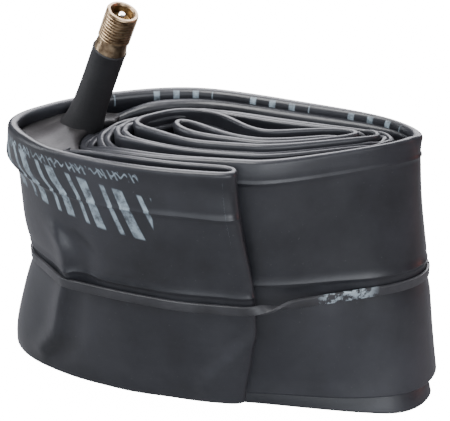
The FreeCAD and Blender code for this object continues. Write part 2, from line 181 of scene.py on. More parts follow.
def beside(line, offset):
    """The line moved to its left."""
    heading = np.gradient(line, axis=0)
    heading = heading / np.linalg.norm(heading, axis=1)[:, None]
    return line + offset[:, None] * np.stack([-heading[:, 1], heading[:, 0]], -1)


def half_circle(first, last, count):
    """Points of the half circle from first to last, bulging to the left of the way between them."""
    centre = (first + last) / 2
    arm = first - centre
    angle = np.linspace(0, -math.pi, count + 2)[1:-1]
    turned = [arm * math.cos(a) + np.array((-arm[1], arm[0])) * math.sin(a) for a in angle]
    return centre + np.array(turned)


def flap_winding():
    """Where the inner strand passes the flap's place, which is where the winding starts."""
    winding = np.linspace(-0.1, 0.5, 4000)
    return float(winding[np.argmin(np.abs(spiral_points(winding, -1)[:, 0] - FLAP_X))])


def fold_rows(before, after, top, turns):
    """Rows of the fold that joins one strand's last row to the other's first."""
    fold = half_circle(before[:2], after[:2], FOLD_STEPS)
    level = np.full(FOLD_STEPS, top)
    turned = np.full(FOLD_STEPS, turns)
    return np.column_stack([fold, level, turned, np.linspace(before[4], after[4], FOLD_STEPS)])


def tube_line():
    """The closed centre line: rows of x, y, top, turns and strand."""
    winding = np.linspace(flap_winding(), HOOK_START, 6000)
    hook = hook_line()
    hook_turns = HOOK_START / TURN + run_of(hook) / HOOK_TURN_LENGTH
    core_top = float(strip_top(HOOK_START, 1))
    to_tip = run_of(hook)[-1] - run_of(hook)
    step_down = CORE_STEP * smooth((to_tip - 38) / 12)
    spread = TIP_SPREAD * smooth((17 - to_tip) / 12) * (0.55 + 0.45 * smooth(to_tip / 3.5))
    sides = {}
    for strand in (1, -1):
        spiral = spiral_points(winding, strand)
        branch = beside(hook, strand * (PITCH / 2 + spread))
        plan = np.concatenate([spiral[:-1], branch])
        branch_top = core_top - step_down * (strand < 0)
        top = np.concatenate([strip_top(winding[:-1], strand), branch_top])
        turns = np.concatenate([winding[:-1] / TURN, hook_turns])
        sides[strand] = np.column_stack([plan, top, turns, np.full(len(plan), strand)])
    outer = sides[1]
    inner = sides[-1][::-1]
    tip_rows = fold_rows(outer[-1], inner[0], core_top, outer[-1, 3])
    flap_rows = fold_rows(inner[-1], outer[0], outer[0, 2], outer[0, 3])
    return np.concatenate([outer, tip_rows, inner, flap_rows])


STATION_SPACING = 1.0
ROUNDING_PASSES = 12


def resampled(rows, spacing):
    """The closed line with even spacing, slightly rounded, and the distance along it."""
    closed = np.concatenate([rows, rows[:1]])
    run = run_of(closed[:, :2])
    count = int(round(run[-1] / spacing))
    at = np.linspace(0, run[-1], count, endpoint=False)
    even = np.column_stack([np.interp(at, run, closed[:, k]) for k in range(closed.shape[1])])
    for _ in range(ROUNDING_PASSES):
        even[:, :3] = 0.5 * even[:, :3] + 0.25 * (np.roll(even[:, :3], 1, 0) + np.roll(even[:, :3], -1, 0))
    return even, at


DRAWN_FROM_END = 2.6
DRAWN_TO_BACK = 2.4


def drawn_in(rows):
    """The rows with the inner turns moved off the valve's end and the core's outside moved to the back."""
    share = np.clip((rows[:, 3] - 1.2) / 3, 0, 1) * (1 - smooth((rows[:, 3] - 4.5) / 0.06))
    rows[:, 0] += DRAWN_FROM_END * share * smooth((-rows[:, 0] - 6) / 13)
    back = smooth((rows[:, 3] - 3.9) / 0.15) * (1 - smooth((rows[:, 3] - 4.44) / 0.04))
    rows[:, 1] += DRAWN_TO_BACK * back * smooth((-rows[:, 0] - 2) / 12)
    return rows


line, along = resampled(drawn_in(tube_line()), STATION_SPACING)
plan = line[:, :2]
top = line[:, 2]
turns = line[:, 3]
strand = line[:, 4]
heading = np.roll(plan, -1, 0) - np.roll(plan, 1, 0)
heading /= np.linalg.norm(heading, axis=1)[:, None]
left = np.stack([-heading[:, 1], heading[:, 0]], -1)

# ---------------------------------------------------------------- faces of the strip


def between(value, start, end, ramp):
    """1 between start and end, with soft ramps outside them."""
    return smooth((value - start) / ramp + 1) * smooth((end - value) / ramp + 1)


POCKET_OUT_SHARE = 0.78
POCKET_OUT_ROOM = 0.5
TURN_ROOM = 0.2


def pocket_widths():
    """Widths of the opened tube to the roll's outside and inside, and how open it is, at each station."""
    winding = turns * TURN
    inside = (strand < -0.5) & (winding > POCKET_START) & (winding < POCKET_END)
    swell = smooth((winding - POCKET_START) / POCKET_RAMP) * smooth((POCKET_END - winding) / POCKET_END_RAMP)
    swell = np.where(inside, swell, 0.0)
    gap = WALL_HALF + TURN_ROOM
    far = np.linalg.norm(spiral_points(winding, 1, -gap) - plan, axis=1)
    near = np.linalg.norm(spiral_points(winding + TURN, 1, gap) - plan, axis=1)
    out = np.maximum(POCKET_OUT_SHARE * far - WALL_HALF - POCKET_OUT_ROOM, 0)
    return swell * out, swell * np.maximum(near - WALL_HALF, 0), swell


pocket_out, pocket_in, pocket_swell = pocket_widths()
is_outer = strand > 0

RIM_RADIUS = 0.73


def rim_radii():
    """Radius of the round rim on the side away from the roll's middle and on the side facing it."""
    away = np.full(len(line), RIM_RADIUS)
    facing = np.full(len(line), RIM_RADIUS)
    thick = between(turns, 0.14, 0.94, 0.05) * is_outer
    facing += 1.15 * thick
    away += 0.15 * thick
    flap = (1 - smooth((turns - 0.06) / 0.1)) * is_outer
    away += 0.45 * flap
    puffed = smooth((turns - 0.412) / 0.03) * (1 - smooth((turns - 0.56) / 0.14)) * ~is_outer
    facing += 1.45 * puffed
    away += 0.35 * puffed
    valve_end_laps = between(turns, 1.05, 3.7, 0.05) * smooth((-plan[:, 0] - 8) / 15)
    facing += 0.12 * valve_end_laps
    away += 0.12 * valve_end_laps
    in_core = smooth((turns - 3.75) / 0.25)
    away += 0.30 * in_core * is_outer
    facing += 0.22 * in_core * ~is_outer
    return away, facing


rim_out, rim_in = rim_radii()


def stacked(values, count):
    """The values of the stations, repeated for the vertices round each section."""
    return np.repeat(values[:, None], count, axis=1)


def steps_between(start, end, count):
    """Evenly spaced depths from start up to but not including end, for every station."""
    share = np.linspace(0, 1, count, endpoint=False)[None]
    return start[:, None] * (1 - share) + end[:, None] * share


RIB_HALF = 0.42
RIB_CREST = 0.14
UPPER_RIB_TALL = 0.30
LOWER_RIB_TALL = 0.24
RIBBED_TURNS = 1.02
RIB_ROOM = 1.2
BOTTOM_RADIUS = 0.72
LOWEST_WALL = HEIGHT - 1.6
RIM_STEPS = 8
NECK_STEPS = 7
WALL_STEPS = 15
FOOT_STEPS = 7
CROSS_STEPS = 8
CORNER_SHARE = 0.86
CORNER_LIMIT = 2.2
NECK_SHARE = 2.4
SPLICE_HALF = 0.8
SPLICE_RISE = 0.16


def splice_at(wanted_strand, wanted_turns):
    """A narrow raised line across the tube, as where two ends overlap: 1 on it, 0 elsewhere."""
    fits = np.abs(strand - wanted_strand) + 10 * np.abs(turns - wanted_turns)
    place = along[np.argmin(fits)]
    return np.exp(-(((along - place) / SPLICE_HALF) ** 4))


splice = splice_at(1, 4.075) + splice_at(-1, 0.447)

# Depths of the two moulded ribs below the upper edge: the upper one sinks toward the flap.
upper_rib = 4.9 + 6.3 * (1 - smooth((turns - 0.06) / 0.24))
lower_rib = 31.5


def depth_table(rim):
    """Depths of a face's vertices: round rim, neck, rib, wall, second rib, wall, round foot."""
    one = np.ones(len(rim))
    rib_shape = np.array((-RIB_HALF, -RIB_CREST, RIB_CREST, RIB_HALF))[None]
    angle = np.linspace(0, math.pi / 2, RIM_STEPS)[None]
    round_rim = rim[:, None] * (1 - np.cos(angle))
    neck = steps_between(rim * 1.25, upper_rib - RIB_HALF, NECK_STEPS)
    rib = upper_rib[:, None] + rib_shape
    wall = steps_between(upper_rib + RIB_ROOM, one * (lower_rib - 1.0), WALL_STEPS)
    low_rib = lower_rib + rib_shape * one[:, None]
    low_wall = steps_between(one * (lower_rib + RIB_ROOM), one * LOWEST_WALL, WALL_STEPS)
    foot_angle = np.linspace(0, math.pi / 2, FOOT_STEPS)[None]
    foot = HEIGHT - BOTTOM_RADIUS * (1 - np.sin(foot_angle)) * one[:, None]
    return np.concatenate([round_rim, neck, rib, wall, low_rib, low_wall, foot], axis=1)


def side_offsets(depth, rim, pocket):
    """How far a face lies from the centre line at each depth: rim, neck, wall and round foot."""
    top_half = rim[:, None] + pocket[:, None]
    corner = CORNER_SHARE * np.minimum(top_half, CORNER_LIMIT)
    dip = np.clip(corner - depth, 0, None)
    round_part = top_half - corner + np.sqrt(np.clip(corner ** 2 - dip ** 2, 0, None))
    shut = 1 - smooth((depth - POCKET_DEPTH + POCKET_CLOSING) / POCKET_CLOSING)
    wall = WALL_HALF + 0.04 + pocket[:, None] * shut
    neck = wall + (top_half - wall) * (1 - smooth((depth - corner) / (NECK_SHARE * rim[:, None])))
    offset = np.where(depth < corner, round_part, neck)
    rise = HEIGHT - depth
    below_middle = BOTTOM_RADIUS - np.minimum(rise, BOTTOM_RADIUS)
    foot = np.sqrt(np.clip(BOTTOM_RADIUS ** 2 - below_middle ** 2, 0, None))
    return np.where(rise < BOTTOM_RADIUS, np.maximum(foot, 0.1), offset)


def rib_height(depth, at, tall):
    """A narrow raised rib across the wall."""
    far = np.abs(depth - at)
    return tall * (1 - smooth((far - RIB_CREST) / (RIB_HALF - RIB_CREST)))


LEAN = 1.3
LEAN_DEPTH = 5.2
POCKET_SAG = 0.9


def ring_points():
    """For every station: offsets to the left of the line, depths, and a flat distance across the section.

    The left is the outside of the roll for the outer strand and the inside for the inner one.
    """
    left_rim = np.where(is_outer, rim_out, rim_in)
    right_rim = np.where(is_outer, rim_in, rim_out)
    left_depth = depth_table(left_rim)
    right_depth = depth_table(right_rim)
    left_side = side_offsets(left_depth, left_rim, np.where(is_outer, 0, pocket_in))
    right_side = side_offsets(right_depth, right_rim, np.where(is_outer, 0, pocket_out))
    left_side = left_side + SPLICE_RISE * splice[:, None]
    right_side = right_side + SPLICE_RISE * splice[:, None]
    ribbed = (is_outer & (turns < RIBBED_TURNS)).astype(float)[:, None]
    left_side = left_side + ribbed * rib_height(left_depth, upper_rib[:, None], UPPER_RIB_TALL)
    left_side = left_side + ribbed * rib_height(left_depth, lower_rib, LOWER_RIB_TALL)
    leaning = is_outer * (between(turns, 0.82, 1.0, 0.06) + 0.7 * between(turns, 0.12, 0.38, 0.05))
    left_side = left_side - LEAN * leaning[:, None] * np.clip(1 - left_depth / LEAN_DEPTH, 0, 1) ** 2
    right_side = right_side + LEAN * leaning[:, None] * np.clip(1 - right_depth / LEAN_DEPTH, 0, 1) ** 2
    crossing = np.linspace(0, 1, CROSS_STEPS)[None, 1:-1]
    cross = left_side[:, :1] * (1 - crossing) - right_side[:, :1] * crossing
    foot_cross = -right_side[:, -1:] * (1 - crossing) + left_side[:, -1:] * crossing
    offset = np.concatenate([left_side[:, ::-1], cross, -right_side, foot_cross], axis=1)
    sag = POCKET_SAG * pocket_swell[:, None] * np.sin(crossing * math.pi)
    foot_depth = np.full(foot_cross.shape, HEIGHT)
    depth = np.concatenate([left_depth[:, ::-1], sag, right_depth, foot_depth], axis=1)
    level = np.zeros(cross.shape)
    from_top = np.concatenate([-left_depth[:, ::-1], level, right_depth, foot_depth], axis=1)
    return offset, depth, HEIGHT + from_top


# ---------------------------------------------------------------- how the wound tube bends out of true


CREASE_HEIGHT = 33.5
FOLD_LEAN = 2.3
WAIST = 1.7
FOOT_LEAN = 4.3
FAR_SPREAD = 8.0
PINCH = 0.012
PINCH_HALF = 3.2
BACK_WALL = 17.9
BACK_WALL_CURVE = 0.012


def left_profile(z):
    """How far the valve's end moves outward at each height."""
    under_rim = smooth((60.5 - z) / 5)
    return FOOT_LEAN * smooth((30 - z) / 23) - FOLD_LEAN * under_rim - WAIST * hump(z, CREASE_HEIGHT, 6.5)


def right_profile(z):
    """How far the other end spreads at each height."""
    return FAR_SPREAD * np.clip((63 - z) / 57, 0, 1.05) ** 1.1


def warped(x, y, z):
    """The roll bent: the valve end leans, the far end narrows upward and spreads below, the band pinches."""
    back_wall = BACK_WALL - BACK_WALL_CURVE * np.clip(x - 18, 0, None) ** 2
    upward = 1.2 * (np.clip(z, 0, 66) / 66) ** 0.8 - 0.2
    narrow = 0.5 * (np.clip(x - 12, 0, None) / 36) ** 1.4 * upward
    y = y + np.clip(narrow, -0.1, 0.6) * (back_wall - y)
    left_share = smooth((-x - 22) / 24)
    right_share = np.clip(x / 50, 0, None) ** 1.3
    pinch = 1 - PINCH * hump(z, BAND_MIDDLE, PINCH_HALF)
    moved = x - left_share * left_profile(z) + right_share * right_profile(z)
    return moved * pinch, y * pinch, z


FLAP_REACH = 26.0
FLAP_LEAN = 4.7
FLAP_RETURN = 2.9
FLAP_INSET = 0.9


def flap_shift(z):
    """How far the folded end leans to the right at each height."""
    return FLAP_LEAN * smooth((67 - z) / 36) - FLAP_RETURN * smooth((30 - z) / 24)


def crease(x, centre, to_left, to_right):
    """A ridge with its own reach to the left and to the right."""
    far = x - centre
    return np.exp(-((far / np.where(far < 0, to_left, to_right)) ** 2))


UPPER_CREASE = 1.7
UPPER_HOLLOW = 1.0
LOWER_CREASE = 1.8
LOWER_HOLLOW = 0.9
FLAP_FOLD = 0.9
FLAP_FOLD_END = 14
WAVE_SHARE = 0.8


def wall_relief(x, y, z):
    """Soft bumps and creases of the outside turn, as a move away from the roll's middle."""
    front = smooth((6 - y) / 8)
    upper = between(z, 36, 44, 6)
    lower = between(z, 12, 30, 5)
    upper_line = -34.5 + 1.2 * hump(z, 41, 4) - 3.4 * smooth((z - 43) / 8)
    lower_line = -36.2 - 3.6 * smooth((19 - z) / 11)
    left = UPPER_CREASE * upper * crease(x, upper_line, 3.4, 0.9)
    left = left - UPPER_HOLLOW * upper * hump(x, upper_line + 5, 3.4)
    left = left + LOWER_CREASE * lower * crease(x, lower_line, 3.2, 0.8)
    left = left - LOWER_HOLLOW * lower * hump(x, lower_line + 4.5, 3.2)
    fold_line = 8.5 - 9.5 * smooth((30 - z) / 20)
    flap = FLAP_FOLD * between(z, 12, 26, 6) * crease(x, fold_line, 1.2, 4.0)
    waves = 0.22 * np.sin(x / 4.1 + z / 9.0) + 0.18 * np.sin(x / 7.3 - z / 5.7 + 1.0)
    waves += 0.12 * np.sin(x / 2.3 + z / 15.0 + 2.0)
    body = between(z, 8, 58, 6)
    return front * (left + flap * (x < FLAP_FOLD_END)) + WAVE_SHARE * waves * body


TOP_WOBBLE = 0.22
FOOT_RISE = 1.0
FOOT_WOBBLE = 0.9
FOOT_SPLAY = 2.3


def tube_points():
    """Vertices of the tube, a ring per station."""
    offset, depth, across = ring_points()
    on_first = 1 - smooth((turns - 0.98) / 0.04)
    across_pocket = (pocket_in[:, None] - offset) / np.maximum(pocket_in + pocket_out, 0.4)[:, None]
    bends_whole = (is_outer | (pocket_swell < 0.02))[:, None]
    bends = on_first[:, None] * np.where(bends_whole, 1.0, np.clip(across_pocket, 0, 1))
    wobble = TOP_WOBBLE * np.sin(turns * 31.0 + strand * 1.7) * between(turns, 1.3, 3.7, 0.2)
    stands_at = FOOT_RISE + FOOT_WOBBLE * np.sin(turns * 9.0 + strand)
    standing = smooth((turns - 1.1) / 0.2)
    tall = HEIGHT + standing * (top + wobble - stands_at - HEIGHT)
    z = (top + wobble)[:, None] - depth * (tall / HEIGHT)[:, None]
    x = plan[:, :1] + left[:, :1] * offset
    y = plan[:, 1:] + left[:, 1:] * offset
    relief = bends * wall_relief(x, y, z) * np.where(is_outer, 1.0, -1.0)[:, None]
    x = x + left[:, :1] * relief
    y = y + left[:, 1:] * relief
    from_flap = np.minimum(along, along[-1] + STATION_SPACING - along)
    near_flap = (1 - smooth(from_flap / FLAP_REACH))[:, None]
    x = x + near_flap * flap_shift(z)
    y = y - FLAP_INSET * near_flap * between(z, 12, 56, 8) * on_first[:, None]
    splayed = between(turns, 1.02, 2.6, 0.05) * smooth(-plan[:, 1] / 6)
    splay = FOOT_SPLAY * smooth((9 - z) / 8) * splayed[:, None]
    outward = np.where(is_outer, 1.0, -1.0)[:, None] * left
    x = x + splay * outward[:, :1]
    y = y + splay * outward[:, 1:]
    x, y, z = warped(x, y, z)
    return np.stack([x, y, z], -1), across


# ---------------------------------------------------------------- meshes


def mesh_object(name, points, faces, smooth_shading=True):
    """A new object from points in millimetres and faces."""
    mesh = bpy.data.meshes.new(name)
    mesh.from_pydata((np.asarray(points) * MM).tolist(), [], faces)
    mesh.validate()
    mesh.update()
    piece = bpy.data.objects.new(name, mesh)
    bpy.context.scene.collection.objects.link(piece)
    if smooth_shading:
        mesh.polygons.foreach_set("use_smooth", [True] * len(mesh.polygons))
    return piece


def grid_faces(rows, columns, close_rows, close_columns, flip=False):
    """Four-cornered faces over a grid of points, closed round either way."""
    faces = []
    for i in range(rows if close_rows else rows - 1):
        for j in range(columns if close_columns else columns - 1):
            a = i * columns + j
            b = i * columns + (j + 1) % columns
            c = ((i + 1) % rows) * columns + (j + 1) % columns
            d = ((i + 1) % rows) * columns + j
            faces.append((a, d, c, b) if flip else (a, b, c, d))
    return faces


def point_value(piece, name, values):
    """A number on each vertex, for the material to read."""
    attribute = piece.data.attributes.new(name, "FLOAT", "POINT")
    attribute.data.foreach_set("value", np.asarray(values, np.float32).ravel())


def outward_sign(piece):
    """Sum of signed volumes: positive if the faces point outward."""
    mesh = piece.data
    mesh.calc_loop_triangles()
    co = np.array([v.co for v in mesh.vertices])
    tri = np.array([t.vertices[:] for t in mesh.loop_triangles])
    a, b, c = co[tri[:, 0]], co[tri[:, 1]], co[tri[:, 2]]
    return float(np.einsum("ij,ij->i", a, np.cross(b, c)).sum())


def facing_out(piece):
    """The piece with its faces turned to point outward."""
    if outward_sign(piece) < 0:
        piece.data.flip_normals()
    return piece


BACK_LANE = 10000


def make_tube():
    """The skin of the tube. Its lane tells the material the place along the outer strand."""
    points, across = tube_points()
    count, around = across.shape
    faces = grid_faces(count, around, True, True)
    piece = facing_out(mesh_object("tube_rubber", points.reshape(-1, 3), faces))
    lane = np.where(is_outer, along, BACK_LANE + along)
    point_value(piece, "lane", stacked(lane, around))
    point_value(piece, "across", across)
    return piece, points


tube, tube_rings = make_tube()


# ---------------------------------------------------------------- valve, patch and band places


record = frame["record"]
lift = next(j for j in record["behaviour"]["joints"] if j["name"] == "core_lift")
axis = np.array(lift["axis"], float)
sleeve = record["mounts"][0]
SLEEVE_MIDDLE = 18.2
foot = np.array(sleeve["pos_m"], float) / MM - axis * SLEEVE_MIDDLE
JACKET_BORE = 3.25
JACKET_LOW = -2.2
JACKET_TOP = 24.35


def across_axis(direction):
    """Two directions square to an axis and to one another."""
    side = np.cross(direction, (0, 1, 0))
    side /= np.linalg.norm(side)
    return side, np.cross(direction, side)


def lathe(name, profile, segments=72):
    """A closed shape turned round the valve's axis from (radius, height) points, outside then inside."""
    side, other = across_axis(axis)
    points = []
    for radius, height in profile:
        for index in range(segments):
            angle = TURN * index / segments
            points.append(foot + axis * height + radius * (math.cos(angle) * side + math.sin(angle) * other))
    faces = grid_faces(len(profile), segments, True, True)
    return facing_out(mesh_object(name, points, faces))


def make_jacket():
    """The rubber sleeve: flared where it grows out of the tube, a thin lip at the top."""
    flare = [(5.9, JACKET_LOW), (5.6, -1.0), (5.25, 0.0), (4.95, 1.2), (4.7, 2.6), (4.48, 4.4), (4.3, 6.6)]
    sleeve_wall = [(4.17, 9.5), (4.08, 13.0), (4.05, 18.0), (4.05, 23.6)]
    lip = [(4.14, 23.8), (4.15, 24.05), (4.05, 24.25), (3.85, JACKET_TOP)]
    inside = [(JACKET_BORE, JACKET_TOP), (JACKET_BORE, 12.0), (JACKET_BORE, JACKET_LOW)]
    return lathe("valve_jacket", flare + sleeve_wall + lip + inside)


PATCH_START = 0.10 * TURN
PATCH_END = 0.432 * TURN
PATCH_START_RAMP = 0.06 * TURN
PATCH_END_RAMP = 0.03 * TURN
PATCH_STEPS = 130
PATCH_LANES = 28
PATCH_THICK = 0.8
PATCH_UNDER = 0.4
PATCH_OUT_ROOM = 0.7
PATCH_IN_ROOM = 0.35
PATCH_RISE = 1.5
TENT_RISE = 0.9
TENT_REACH = 9
LIP_DROP = 0.5


def patch_sides(winding):
    """The patch's two edges at a winding and how far it is open there: 1 is wall to wall."""
    own = spiral_points(winding, -1)
    far = spiral_points(winding, 1, -WALL_HALF - PATCH_OUT_ROOM)
    near = spiral_points(winding + TURN, 1, WALL_HALF + PATCH_IN_ROOM)
    opening = smooth((winding - PATCH_START) / PATCH_START_RAMP)
    closing = smooth((PATCH_END - winding) / PATCH_END_RAMP)
    swell = 0.03 + 0.97 * opening * closing
    return own + swell * (far - own), own + swell * (near - own), swell


def patch_height(x, y, share, swell):
    """Height of the patch above its floor, share of the way across it."""
    edge = min(share, 1 - share)
    rise = PATCH_RISE * (1 - smooth(share / 0.22)) * swell
    tent = TENT_RISE * math.exp(-(((x - foot[0]) / TENT_REACH) ** 2 + ((y - foot[1]) / TENT_REACH) ** 2))
    lip = LIP_DROP * (1 - smooth(edge / 0.05))
    wrinkle = 0.14 * math.sin(x / 1.9 + y / 2.7) + 0.10 * math.sin(x / 1.1 - y / 1.7)
    return PATCH_THICK + rise + tent - lip + wrinkle * smooth(edge / 0.2)


def sheet_border(rows, columns):
    """Point numbers round the edge of a grid, in order."""
    border = list(range(columns))
    border += [i * columns + columns - 1 for i in range(1, rows)]
    border += [(rows - 1) * columns + j for j in range(columns - 2, -1, -1)]
    border += [i * columns for i in range(rows - 2, 0, -1)]
    return border


def make_patch():
    """The matt patch that covers the opened tube round the valve, dipping towards its middle."""
    floor = REST_HEIGHT + HEIGHT - VALVE_DIP
    top_points = []
    low_points = []
    for winding in np.linspace(PATCH_START, PATCH_END, PATCH_STEPS):
        outer_edge, inner_edge, swell = patch_sides(winding)
        for lane in range(PATCH_LANES):
            share = lane / (PATCH_LANES - 1)
            x, y = outer_edge + (inner_edge - outer_edge) * share
            top_points.append((x, y, floor + patch_height(x, y, share, swell)))
            low_points.append((x, y, floor - PATCH_UNDER))
    count = len(top_points)
    faces = grid_faces(PATCH_STEPS, PATCH_LANES, False, False)
    lower = [tuple(count + k for k in reversed(face)) for face in faces]
    border = sheet_border(PATCH_STEPS, PATCH_LANES)
    rim = [(a, count + a, count + b, b) for a, b in zip(border, border[1:] + border[:1])]
    return facing_out(mesh_object("valve_patch_skin", top_points + low_points, faces + lower + rim))


def hull_at(low, high):
    """The convex outline in plan of the tube between two heights, and its outward directions."""
    flat = tube_rings.reshape(-1, 3)
    near = flat[(flat[:, 2] > low) & (flat[:, 2] < high)][:, :2]
    angle = np.linspace(0, TURN, 720, endpoint=False)
    outward = np.stack([np.cos(angle), np.sin(angle)], -1)
    touch = near[np.argmax(near @ outward.T, axis=0)]
    return touch, outward


def even_loop(points, count):
    """Evenly spaced points round a closed outline."""
    closed = np.concatenate([points, points[:1]])
    run = run_of(closed)
    at = np.linspace(0, run[-1], count, endpoint=False)
    return np.stack([np.interp(at, run, closed[:, k]) for k in range(points.shape[1])], -1)


BAND_WIDTH = 2.4
BAND_THICK = 0.85
BAND_REACH = 1.3
BAND_ROOM = 0.06
BAND_CORNER = 0.2
BAND_STEPS = 720
TWIST_START = 10.0
TWIST_LENGTH = 14.0
TWIST_LIFT = 0.45
TWIST_SQUEEZE = 0.85
NOT_IN_FRONT = -99.0


def band_section():
    """The band's rounded rectangle, as points of (thickness, width) round it."""
    section = []
    for quarter, (side, level) in enumerate(((1, 1), (-1, 1), (-1, -1), (1, -1))):
        for step in range(4):
            angle = math.radians(90 * quarter + 30 * step)
            u = side * (BAND_THICK / 2 - BAND_CORNER) + BAND_CORNER * math.cos(angle)
            v = level * (BAND_WIDTH / 2 - BAND_CORNER) + BAND_CORNER * math.sin(angle)
            section.append((u, v))
    return section


def make_band():
    """The flat rubber band stretched round the roll, with one half twist in front."""
    touch, outward = hull_at(BAND_MIDDLE - BAND_REACH, BAND_MIDDLE + BAND_REACH)
    loop = even_loop(touch + outward * (BAND_THICK / 2 + BAND_ROOM), BAND_STEPS)
    for _ in range(6):
        loop = 0.5 * loop + 0.25 * (np.roll(loop, 1, 0) + np.roll(loop, -1, 0))
    heading_here = np.roll(loop, -1, 0) - np.roll(loop, 1, 0)
    heading_here /= np.linalg.norm(heading_here, axis=1)[:, None]
    out = np.stack([heading_here[:, 1], -heading_here[:, 0]], -1)
    section = band_section()
    points = []
    for (x, y), (ox, oy) in zip(loop, out):
        twist = math.pi * float(smooth((x - TWIST_START) / TWIST_LENGTH)) if y < 0 else 0.0
        rise = TWIST_LIFT * math.sin(twist) ** 2
        for u, v in section:
            ru = u * math.cos(twist) - v * math.sin(twist) * TWIST_SQUEEZE + rise
            rv = u * math.sin(twist) + v * math.cos(twist)
            points.append((x + ox * ru, y + oy * ru, BAND_MIDDLE + rv))
    faces = grid_faces(len(loop), len(section), True, True)
    piece = facing_out(mesh_object("rubber_band_skin", points, faces))
    rows = np.array(points)
    point_value(piece, "front_x", np.where(rows[:, 1] < 0, rows[:, 0], NOT_IN_FRONT))
    return piece


jacket = make_jacket()
patch = make_patch()
band = make_band()

# ---------------------------------------------------------------- materials


def material(name):
    """A new material, with its node tree and main shader."""
    made = bpy.data.materials.new(name)
    made.use_nodes = True
    tree = made.node_tree
    shader = tree.nodes["Principled BSDF"]
    return made, tree, shader


def math_node(tree, operation, first, second=None, third=None):
    """The output of a sum on sockets or numbers."""
    made = tree.nodes.new("ShaderNodeMath")
    made.operation = operation
    for socket, value in zip(made.inputs, (first, second, third)):
        if value is None:
            continue
        if isinstance(value, (int, float)):
            socket.default_value = value
        else:
            tree.links.new(value, socket)
    return made.outputs[0]


def noise(tree, scale, detail=3.0, rough=0.55):
    """Clouds fixed to the object, with scale per metre."""
    made = tree.nodes.new("ShaderNodeTexNoise")
    made.inputs["Scale"].default_value = scale
    made.inputs["Detail"].default_value = detail
    made.inputs["Roughness"].default_value = rough
    place = tree.nodes.new("ShaderNodeTexCoord")
    tree.links.new(place.outputs["Object"], made.inputs["Vector"])
    return made.outputs["Fac"]


def ramp(tree, source, stops):
    """Colours along a value, from (place, colour) stops."""
    made = tree.nodes.new("ShaderNodeValToRGB")
    elements = made.color_ramp.elements
    while len(elements) < len(stops):
        elements.new(0.5)
    for element, (place, colour) in zip(elements, stops):
        element.position = place
        element.color = colour + (1.0,)
    tree.links.new(source, made.inputs[0])
    return made.outputs["Color"]


def bumped(tree, shader, heights):
    """Chains bump nodes: (height, strength, distance in millimetres)."""
    normal = None
    for height, strength, distance in heights:
        made = tree.nodes.new("ShaderNodeBump")
        made.inputs["Strength"].default_value = strength
        made.inputs["Distance"].default_value = distance * MM
        tree.links.new(height, made.inputs["Height"])
        if normal is not None:
            tree.links.new(normal, made.inputs["Normal"])
        normal = made.outputs["Normal"]
    tree.links.new(normal, shader.inputs["Normal"])


def mixed(tree, share, first, second):
    """The first colour where share is 0, the second where it is 1."""
    made = tree.nodes.new("ShaderNodeMix")
    made.data_type = "RGBA"
    tree.links.new(share, made.inputs["Factor"])
    for socket, value in ((made.inputs["A"], first), (made.inputs["B"], second)):
        if isinstance(value, tuple):
            socket.default_value = value + (1.0,)
        else:
            tree.links.new(value, socket)
    return made.outputs["Result"]


def attribute(tree, name):
    """The number that the vertices carry under a name."""
    made = tree.nodes.new("ShaderNodeAttribute")
    made.attribute_name = name
    return made.outputs["Fac"]


def window(tree, value, low, high, soft):
    """1 while value lies between low and high, with soft edges just inside them."""
    rise = math_node(tree, "DIVIDE", math_node(tree, "SUBTRACT", value, low), soft)
    fall = math_node(tree, "DIVIDE", math_node(tree, "SUBTRACT", high, value), soft)
    both = math_node(tree, "MINIMUM", rise, fall)
    return math_node(tree, "MINIMUM", math_node(tree, "MAXIMUM", both, 0.0), 1.0)


def bars(tree, place, period, share, soft):
    """Repeating bars along place: 1 on a bar, 0 between."""
    cycle = math_node(tree, "FRACT", math_node(tree, "DIVIDE", place, period))
    return window(tree, cycle, 0.0, share, soft)


MARK_SLANT = 0.42
BLACK = (0.0, 0.0, 0.0)
WHITE = (1.0, 1.0, 1.0)


def product(tree, first, *others):
    """All the values multiplied together."""
    total = first
    for other in others:
        total = math_node(tree, "MULTIPLY", total, other)
    return total


def slanted_row(tree, lane, depth, slant):
    """A row of broad slanted bars that sinks slowly along the front of the roll."""
    row_top = math_node(tree, "MULTIPLY_ADD", lane, -0.12, 9.3)
    below = math_node(tree, "SUBTRACT", depth, row_top)
    return product(
        tree,
        bars(tree, slant, 8.6, 0.66, 0.04),
        bars(tree, slant, 4.3, 0.62, 0.05),
        window(tree, below, 0.0, 11.6, 0.5),
        window(tree, lane, 16.2, 66.0, 0.3),
    )


def dashed_line(tree, lane, depth, slant):
    """A wavy line of dashes with fine slanted ticks, near the upper edge."""
    wave = math_node(tree, "SINE", math_node(tree, "MULTIPLY", lane, 2.9))
    line_place = math_node(tree, "MULTIPLY_ADD", wave, 0.55, depth)
    dashes = product(tree, bars(tree, lane, 5.4, 0.8, 0.03), window(tree, line_place, 2.5, 3.3, 0.25))
    ticks = product(
        tree,
        bars(tree, slant, 1.35, 0.42, 0.12),
        window(tree, depth, 1.7, 4.4, 0.3),
        bars(tree, lane, 7.9, 0.72, 0.03),
    )
    both = math_node(tree, "MAXIMUM", dashes, math_node(tree, "MULTIPLY", ticks, 0.8))
    return product(tree, both, window(tree, lane, 19.0, 70.0, 0.4))


def inner_bars(tree, lane, across):
    """Groups of short bars on the wall that faces the roll's middle."""
    inner_depth = math_node(tree, "SUBTRACT", across, HEIGHT)
    return product(
        tree,
        bars(tree, lane, 5.2, 0.36, 0.05),
        window(tree, inner_depth, 0.2, 3.4, 0.3),
        bars(tree, lane, 26.0, 0.62, 0.01),
        window(tree, lane, 84.0, 178.0, 0.5),
    )


